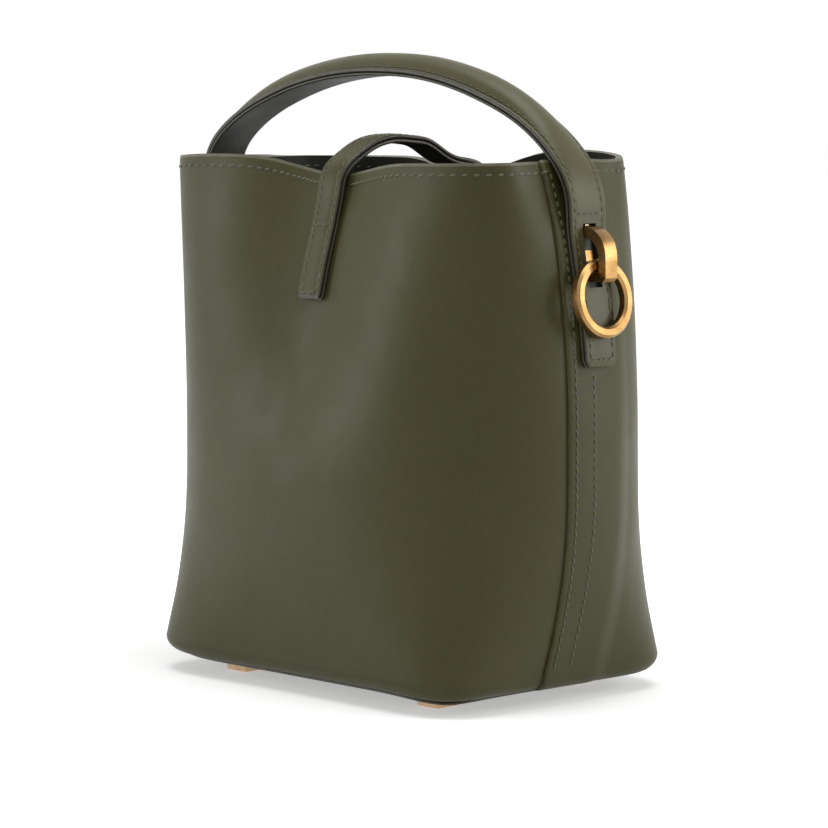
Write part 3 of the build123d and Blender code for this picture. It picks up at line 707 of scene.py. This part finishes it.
def handle_line():
    """Lower face of the strap from the left tab's end over the arch to the right one's."""
    tabs = tree_of("handle_tab_left", "handle_tab_right")
    sides = {}
    for side in (-1, 1):
        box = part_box("handle_tab_left" if side < 0 else "handle_tab_right")
        low = box[0][2]
        rows = [(cast(tabs, (side * 0.3, 0.0075, z), (-side, 0, 0))[0], z)
                for z in np.linspace(low + 0.5 * MM, 0.2315, 46)]
        rows[0] = (rows[0][0], low)
        rows = softened(np.array(rows), 3)
        slope = unit(np.gradient(rows, axis=0))
        square = np.stack([slope[:, 1], -slope[:, 0]], -1) * side
        sides[side] = rows - square * (STRAP_LOW / 2 + 0.04 * MM)
    whole = np.concatenate([sides[-1], np.array(ARCH) * MM, sides[1][::-1]])
    plain = along_line(whole, HANDLE_STEP)
    middle = softened(plain, 60)
    middle[:12], middle[-12:] = plain[:12], plain[-12:]
    middle = softened(along_line(middle, HANDLE_STEP), 3)
    slope = unit(np.gradient(middle, axis=0))
    out = np.stack([-slope[:, 1], slope[:, 0]], -1)
    run = run_of(middle)
    near = np.minimum(run, run[-1] - run)
    thick = STRAP_LOW + GRIP_RISE * fade(near, 0.078, 0.165)
    return middle - out * thick[:, None] / 2, thick


line, high = handle_line()
slope = unit(np.gradient(line, axis=0))
out_way = np.stack([-slope[:, 1], slope[:, 0]], -1)
run = run_of(line)
from_end = np.minimum(run, run[-1] - run)
half = 10.3 * MM + 1.7 * MM * fade(from_end, 0.010, 0.072)
tip = np.clip(from_end / END_CORNER, 0, 1)
half = half - END_CORNER * (1 - np.sqrt(np.clip(1 - (1 - tip) ** 2, 0, 1)))
half[0] = half[-1] = half[1] - 1.2 * MM


def strap_point(i, across, up):
    """Point of the handle strap at station i, across it and up from its lower face."""
    x = line[i, 0] + out_way[i, 0] * up
    z = line[i, 1] + out_way[i, 1] * up
    return x, across, z


def strap_height(i, across):
    """Top of the strap: a flat sewn margin and a padded crown between the stitch rows."""
    rise = high[i] - STRAP_LOW
    dome = np.clip(1 - (abs(across) / SEAM_OUT) ** 2, 0, 1) ** 0.62
    groove = 0.28 * MM * math.exp(-((abs(across) - SEAM_OUT) / (0.7 * MM)) ** 2)
    return STRAP_LOW + rise * dome - groove


RIGHT_COLUMNS = (0.12, 0.25, SLOT_SHARE, 0.5, 0.6, 0.68, 0.74, 0.79, 0.85, 0.92, 0.965, 0.992, 1)
COLUMNS = np.array([-c for c in RIGHT_COLUMNS[::-1]] + [0, *RIGHT_COLUMNS])


def strap_layer(name, low, top, mats, slotted):
    """Layer of the handle strap; low and top give its faces at a station and column."""
    count = len(line)
    outer = np.zeros((count, len(COLUMNS), 3))
    inner = np.zeros_like(outer)
    rounding = {0: 0.42, 1: 0.20, 2: 0.06}
    for i in range(count):
        for j, c in enumerate(COLUMNS):
            y = c * half[i]
            if abs(c) == SLOT_SHARE and from_end[i] < TAB_RUN:
                y = math.copysign(SLOT_HALF, c)
            rim = rounding.get(min(j, len(COLUMNS) - 1 - j), 0.0)
            if from_end[i] < 1.2 * MM:
                rim = max(rim, 0.30)
            a, b = low(i, y), top(i, y)
            outer[i, j] = strap_point(i, y, b - (b - a) * rim)
            inner[i, j] = strap_point(i, y, a + (b - a) * rim)
    keep = np.ones((count - 1, len(COLUMNS) - 1), bool)
    if slotted:
        middle_z = (line[:-1, 1] + line[1:, 1]) / 2
        inside = (middle_z > SLOT_Z[0]) & (middle_z < SLOT_Z[1]) & (from_end[:-1] < TAB_RUN)
        slot_columns = (COLUMNS[:-1] >= -SLOT_SHARE) & (COLUMNS[1:] <= SLOT_SHARE)
        keep[np.ix_(inside, slot_columns)] = False
    edges = np.zeros_like(keep)
    edges[:, :2] = edges[:, -2:] = True
    # y runs against the strap, so the outer grid's columns are turned to face outwards
    return shell(name, outer[:, ::-1], inner[:, ::-1], mats, keep=keep[:, ::-1],
                 edges=edges[:, ::-1])


# The strap's underside faces take the darker underside leather (painted shade), and its top the
# lighter grip leather (painted light).
top_layer = strap_layer("handle_top", lambda i, y: 1.62 * MM, strap_height,
                        [LIT_GRIP, SHADED_UNDER, EDGE], True)
low_layer = strap_layer("handle_lower", lambda i, y: 0.0, lambda i, y: 1.5 * MM,
                        [SHADED_UNDER, SHADED_UNDER, EDGE], False)


def strap_row(across, start, stop, pitch=4.3 * MM):
    """Stitches along the strap at a distance from its middle, between two stations' runs."""
    rows = []
    at = start
    while at < stop:
        i = int(np.searchsorted(run, at))
        i = min(max(i, 1), len(run) - 2)
        y = across(i)
        p = np.array(strap_point(i, y, strap_height(i, y)))
        before, after = (np.array(strap_point(k, across(k), 0)) for k in (i - 1, i + 1))
        rows.append((p, after - before, (out_way[i, 0], 0, out_way[i, 1])))
        at += pitch
    return rows


def cross_row(z, side, half_width, pitch=4.0 * MM):
    """Stitches in a straight row across a tab at one height."""
    stations = [k for k in np.where(from_end < 0.1)[0] if (line[k, 0] < 0) == (side < 0)]
    i = min(stations, key=lambda k: abs(line[k, 1] - z))
    count = max(2, round(2 * half_width / pitch))
    rows = []
    for k in range(count):
        y = -half_width + 2 * half_width * (k + 0.5) / count
        rows.append((strap_point(i, y, strap_height(i, y)), (0, 1, 0),
                     (out_way[i, 0], 0, out_way[i, 1])))
    return rows


handle_rows = []
for sign in (-1, 1):
    handle_rows += strap_row(lambda i, s=sign: s * (half[i] - 2.9 * MM), 4 * MM, run[-1] - 4 * MM)
for sign in (-1, 1):
    handle_rows += cross_row(0.1662, sign, 7.0 * MM)
    handle_rows += cross_row(0.2335, sign, 8.0 * MM)
handle_seams = stitches("handle_stitches", handle_rows)

for piece in (top_layer, low_layer, handle_seams):
    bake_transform(piece)
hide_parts("handle_cover", "handle_core", "handle_tab_left", "handle_tab_right")
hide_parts("handle_underside", "tab_backing_left", "tab_backing_right")


# ------------------------------------------------------------------ closure strap
CLOSURE_STEP = 1.5 * MM
CLOSURE_THICK = 2.15 * MM      # each of its two leathers
CLOSURE_SEAM = 0.66            # share of the half width where its stitches run
CLOSURE_PITCH = 4.1 * MM
TOUCHING = 0.7 * MM
ARCH_Z = 0.215                 # the strap's points are ordered by their turn about this height


def corners_of(name):
    return np.array([v.co for v in nodes[name].data.vertices])


def where_touching(points, others):
    gap = np.linalg.norm(points[:, None] - others[None], axis=2)
    return points[gap.min(axis=1) < TOUCHING]


def closure_line():
    """Line between the strap's two leathers from the anchor over the rims to the tip."""
    outer, inner = corners_of("closure_outer"), corners_of("closure_inner")
    side = outer[:, 0].max()
    outer, inner = (v[np.abs(v[:, 0] - side) < 0.2 * MM][:, 1:] for v in (outer, inner))
    joint = where_touching(outer, inner)
    joint = joint[np.argsort(np.arctan2(joint[:, 1] - ARCH_Z, joint[:, 0]))]
    tips = where_touching(corners_of("closure_tip_outer")[:, 1:],
                          corners_of("closure_tip_inner")[:, 1:])
    low = tips[np.argmin(tips[:, 1])]
    top = joint[-1]
    down = np.stack([top + (low - top) * s for s in np.linspace(0.12, 1, 16)])
    anchor_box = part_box("closure_anchor")
    anchors = tree_of("closure_anchor")
    rows = []
    for z in np.linspace(anchor_box[0][2] + 0.2 * MM, joint[0][1] - 3 * MM, 16):
        z_in = min(z, anchor_box[1][2] - 0.3 * MM)
        hit = cast(anchors, (0, 0.3, z_in), (0, -1, 0))
        rows.append((hit[1] - 2.2 * MM, z))
    whole = np.concatenate([np.array(rows), joint, down])
    even = softened(along_line(whole, CLOSURE_STEP), 4)
    return softened(along_line(even, CLOSURE_STEP), 2)


path = closure_line()          # y and z of each station
# over the lowered front rim the strap lies lower too
path[:, 1] -= 2.5 * MM * fade(-path[:, 0], 0.004, 0.030) * fade(path[:, 1], 0.228, 0.246)
path = softened(path, 5)
path_run = run_of(path)
path_slope = unit(np.gradient(path, axis=0))
path_out = np.stack([path_slope[:, 1], -path_slope[:, 0]], -1)
crown = int(np.argmax(path[:, 1]))
strap_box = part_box("closure_outer")
HALF = (strap_box[1][0] - strap_box[0][0]) / 2 + 1.1 * MM


def strap_x(i):
    """The strap's middle: it hangs a little askew down the back."""
    return 3.4 * MM * fade(0.262 - path[i, 1], 0.0, 0.07) * (path[i, 0] > 0)


def closure_point(i, x, up):
    """Point of the closure strap at station i, across it at x and up from its middle."""
    return x + strap_x(i), path[i, 0] + path_out[i, 0] * up, path[i, 1] + path_out[i, 1] * up


RIGHT_ACROSS = (0.25, 0.5, 0.64, 0.72, 0.86, 0.94, 0.985, 1)
ACROSS = np.array([-c for c in RIGHT_ACROSS[::-1]] + [0, *RIGHT_ACROSS])


def closure_top(across):
    """Outer leather's rise: pressed at the stitch rows and a little full between them."""
    press = 0.22 * MM * math.exp(-((abs(across) - CLOSURE_SEAM * HALF) / (0.7 * MM)) ** 2)
    full = 0.35 * MM * max(0.0, 1 - (across / (0.6 * HALF)) ** 2)
    return CLOSURE_THICK - press + full


def closure_piece(name, first, last, low, top, mats, ends):
    """Leather of the strap from one station to another; ends says which ends are cut."""
    count = last - first + 1
    outer = np.zeros((count, len(ACROSS), 3))
    inner = np.zeros_like(outer)
    rounding = {0: 0.40, 1: 0.18, 2: 0.05}
    for row in range(count):
        i = first + row
        near = min(row if ends[0] else 99, count - 1 - row if ends[1] else 99)
        pull = {0: 1.4 * MM, 1: 0.5 * MM}.get(near, 0.0)
        for j, c in enumerate(ACROSS):
            x = c * (HALF - pull)
            rim = max(rounding.get(min(j, len(ACROSS) - 1 - j), 0.0),
                      {0: 0.36, 1: 0.08}.get(near, 0.0))
            a, b = low(x), top(x)
            outer[row, j] = closure_point(i, x, b - (b - a) * rim)
            inner[row, j] = closure_point(i, x, a + (b - a) * rim)
    edges = np.zeros((count - 1, len(ACROSS) - 1), bool)
    edges[:, :2] = edges[:, -2:] = True
    if ends[0]:
        edges[:1] = True
    if ends[1]:
        edges[-1:] = True
    return shell(name, outer, inner, mats, edges=edges)


last = len(path) - 1
# The lower leather and the top leather's underside take the darker underside leather: painted
# shade.
TOP = (lambda x: 0.06 * MM, closure_top, [STRAP, SHADED_UNDER, EDGE])
LOWER = (lambda x: -CLOSURE_THICK, lambda x: -0.06 * MM, [SHADED_UNDER, SHADED_UNDER, EDGE])
back_top = closure_piece("closure_back_top", 0, crown, *TOP, (True, False))
back_low = closure_piece("closure_back_lower", 0, crown, *LOWER, (True, False))
front_top = closure_piece("closure_front_top", crown, last, *TOP, (False, True))
front_low = closure_piece("closure_front_lower", crown, last, *LOWER, (False, True))


def closure_stitch(at, x, across=False):
    i = int(np.clip(np.searchsorted(path_run, at), 1, last - 1))
    way = (1, 0, 0) if across else (0, path_slope[i, 0], path_slope[i, 1])
    return closure_point(i, x, closure_top(x)), way, (0, path_out[i, 0], path_out[i, 1])


def closure_rows(start, stop, crossings):
    """Two rows along the strap, and a pair of stitches across it at each crossing."""
    rows = []
    at = start
    while at <= stop:
        rows += [closure_stitch(at, sign * CLOSURE_SEAM * HALF) for sign in (-1, 1)]
        at += CLOSURE_PITCH
    for at in crossings:
        rows += [closure_stitch(at, x * MM, across=True) for x in (-2.2, 2.2)]
    return rows


crown_run = path_run[crown]
back_seams = stitches("closure_back_stitches",
                      closure_rows(4.0 * MM, crown_run - 1.5 * MM, (3.0 * MM, 36 * MM)))
front_seams = stitches("closure_front_stitches",
                       closure_rows(crown_run + 2.6 * MM, path_run[-1] - 4 * MM,
                                    (path_run[-1] - 3.0 * MM,)))
for piece in (back_top, back_low, back_seams):
    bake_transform(piece)
for piece in (front_top, front_low, front_seams):
    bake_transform(piece)
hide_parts("closure_outer", "closure_anchor")
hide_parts("closure_inner")
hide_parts("closure_tip_outer")
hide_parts("closure_tip_inner")


# ------------------------------------------------------------------ wall stitching
RIM_STITCHES = 148
RIM_DEPTH = 5.6 * MM
CLOSURE_X, CLOSURE_MARGIN = 1 * MM, 2 * MM     # the closure strap covers the rim's row here
TAB_COVER = 13 * MM            # and the handle's tabs this far from their middles
LAP_ROWS = ((13.2 * MM, 1.0), (2.2 * MM, 0.160))    # y of each row, and its highest z


def rim_stitch_rows(inside):
    """One row under the rim, outside or inside, but for what the straps cover outside."""
    count = 3 * RIM_STITCHES
    turn = np.repeat((np.arange(count) * math.tau / count)[None, :], 3, 0)
    height = level(1.0 + 0 * turn[0], turn[0])[:, 2] - WALL_LOW
    mid = 1 - RIM_DEPTH / height
    shares = np.stack([mid - 0.01, mid, mid + 0.01])
    y = level(shares, turn)[..., 1]
    front = (turn > math.pi) | (y < LAP_Y)
    rise = np.where(front, lap_rise(y), 0)
    out = -GAP - FACING + 0 * y if inside else LEATHER + rise
    points, square = wall_at(shares, turn, out, loop=True)
    rows = []
    for c in range(1, count, 3):
        x, y = points[1, c][:2]
        under_closure = abs(x - CLOSURE_X) < HALF + CLOSURE_MARGIN and y > 0
        if not inside and (under_closure or abs(y) < TAB_COVER):
            continue
        way = points[1, (c + 1) % count] - points[1, c - 1]
        rows.append((points[1, c], way, -square[1, c] if inside else square[1, c]))
    return rows


def lap_stitch_rows(side):
    """The two rows down one side's lap."""
    rows = []
    shares = np.linspace(0.005, 0.985, 57)
    share_grid = np.repeat(shares[:, None], 3, 1)
    for y, highest in LAP_ROWS:
        turn = turn_at(y, side, shares)
        turn_grid = np.stack([turn - 0.01, turn, turn + 0.01], 1)
        out = 2 * LEATHER + GAP + 0 * turn_grid
        points, square = wall_at(share_grid, turn_grid, out)
        rows += [(points[i, 1], points[i + 1, 1] - points[i - 1, 1], square[i, 1])
                 for i in range(1, len(shares) - 1) if points[i, 1, 2] <= highest]
    return rows


wall_seams = stitches("wall_stitches", rim_stitch_rows(False) + rim_stitch_rows(True)
                      + lap_stitch_rows(-1) + lap_stitch_rows(1))
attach(wall_seams, "bag")


# ------------------------------------------------------------------ carried-over nodes
FINISHES = {
    "base_board": BOARD, "base_filler": BOARD,
    "link_left": BRASS, "link_right": BRASS, "ring_left": BRASS, "ring_right": BRASS,
    "link_screws_left": PALE_BRASS, "link_screws_right": PALE_BRASS, "foot_washers": PALE_BRASS,
    "foot_front_left": PALE_BRASS, "foot_front_right": PALE_BRASS,
    "foot_back_left": PALE_BRASS, "foot_back_right": PALE_BRASS,
    "snap_plug": BRASS, "snap_socket": BRASS, "snap_washer": PALE_BRASS,
}
for name, finish in FINISHES.items():
    nodes[name].data.materials.clear()
    nodes[name].data.materials.append(finish)


# ------------------------------------------------------------------ floor and light
WHITE = (1, 1, 1, 1)
AMBIENT = 0.27
FLOOR_GREY = (0.86, 0.86, 0.86, 1)
FLOOR_LIFT = (0.42, 0.88)      # glow under the bag and away from it; the lower glow near the bag is painted shade round it
LIFT_GROWS = (0.14, 0.42)      # between these distances from the middle
FLOOR_HALF = 8


def background_rays(tree):
    """1 for the rays that see the plain background: camera, glossy and transmission."""
    rays = tree.nodes.new("ShaderNodeLightPath").outputs
    either = maths(tree, "MAXIMUM", rays["Is Camera Ray"], rays["Is Glossy Ray"])
    return maths(tree, "MAXIMUM", either, rays["Is Transmission Ray"])


def floor_material():
    """Pale floor that glows less under and near the bag: painted shade round it, which deepens
    the bag's shadow there.
    """
    mat = bpy.data.materials.new("pale_floor")
    mat.use_nodes = True
    tree = mat.node_tree
    tree.nodes.clear()
    output = tree.nodes.new("ShaderNodeOutputMaterial")
    diffuse = tree.nodes.new("ShaderNodeBsdfDiffuse")
    diffuse.inputs["Color"].default_value = FLOOR_GREY
    glow = tree.nodes.new("ShaderNodeEmission")
    place = tree.nodes.new("ShaderNodeTexCoord")
    away = tree.nodes.new("ShaderNodeVectorMath")
    away.operation = "LENGTH"
    tree.links.new(place.outputs["Object"], away.inputs[0])
    grow = tree.nodes.new("ShaderNodeMapRange")
    grow.interpolation_type = "SMOOTHSTEP"
    grow.inputs["From Min"].default_value, grow.inputs["From Max"].default_value = LIFT_GROWS
    grow.inputs["To Min"].default_value, grow.inputs["To Max"].default_value = FLOOR_LIFT
    tree.links.new(away.outputs["Value"], grow.inputs["Value"])
    strength = maths(tree, "MULTIPLY", background_rays(tree), grow.outputs["Result"])
    tree.links.new(strength, glow.inputs["Strength"])
    both = tree.nodes.new("ShaderNodeAddShader")
    tree.links.new(diffuse.outputs[0], both.inputs[0])
    tree.links.new(glow.outputs[0], both.inputs[1])
    tree.links.new(both.outputs[0], output.inputs["Surface"])
    return mat


floor_mesh = bpy.data.meshes.new("floor")
floor_corners = [(x * FLOOR_HALF, y * FLOOR_HALF, 0)
                 for x, y in ((-1, -1), (1, -1), (1, 1), (-1, 1))]
floor_mesh.from_pydata(floor_corners, [], [(0, 1, 2, 3)])
floor_mesh.materials.append(floor_material())
floor = bpy.data.objects.new("floor", floor_mesh)
bpy.context.scene.collection.objects.link(floor)

world = bpy.data.worlds.new("soft_studio")
bpy.context.scene.world = world
world.use_nodes = True
sky = world.node_tree
sky.nodes.clear()
world_out = sky.nodes.new("ShaderNodeOutputWorld")
sky_mix = sky.nodes.new("ShaderNodeMixShader")
sky.links.new(background_rays(sky), sky_mix.inputs["Fac"])
for slot, strength in ((1, AMBIENT), (2, 1.0)):
    light = sky.nodes.new("ShaderNodeBackground")
    light.inputs["Color"].default_value = WHITE
    light.inputs["Strength"].default_value = strength
    sky.links.new(light.outputs[0], sky_mix.inputs[slot])
sky.links.new(sky_mix.outputs[0], world_out.inputs["Surface"])


def area(name, place, aim, size, power):
    """Softbox of a size in metres at a place, aimed at a point."""
    data = bpy.data.lights.new(name, "AREA")
    data.shape = "RECTANGLE"
    data.size, data.size_y = size
    data.energy = power
    obj = bpy.data.objects.new(name, data)
    obj.location = place
    obj.rotation_euler = (Vector(aim) - Vector(place)).to_track_quat("-Z", "Y").to_euler()
    bpy.context.scene.collection.objects.link(obj)


area("overhead", (-0.1, 0.1, 2.2), (0, 0, 0.15), (1.6, 1.6), 28)
area("side_left", (1.25, 1.35, 0.50), (0, 0, 0.08), (0.7, 1.0), 9)
area("side_right", (-1.45, -1.15, 0.75), (0, 0, 0.14), (0.8, 1.3), 15)

bpy.context.scene.view_settings.view_transform = "Standard"
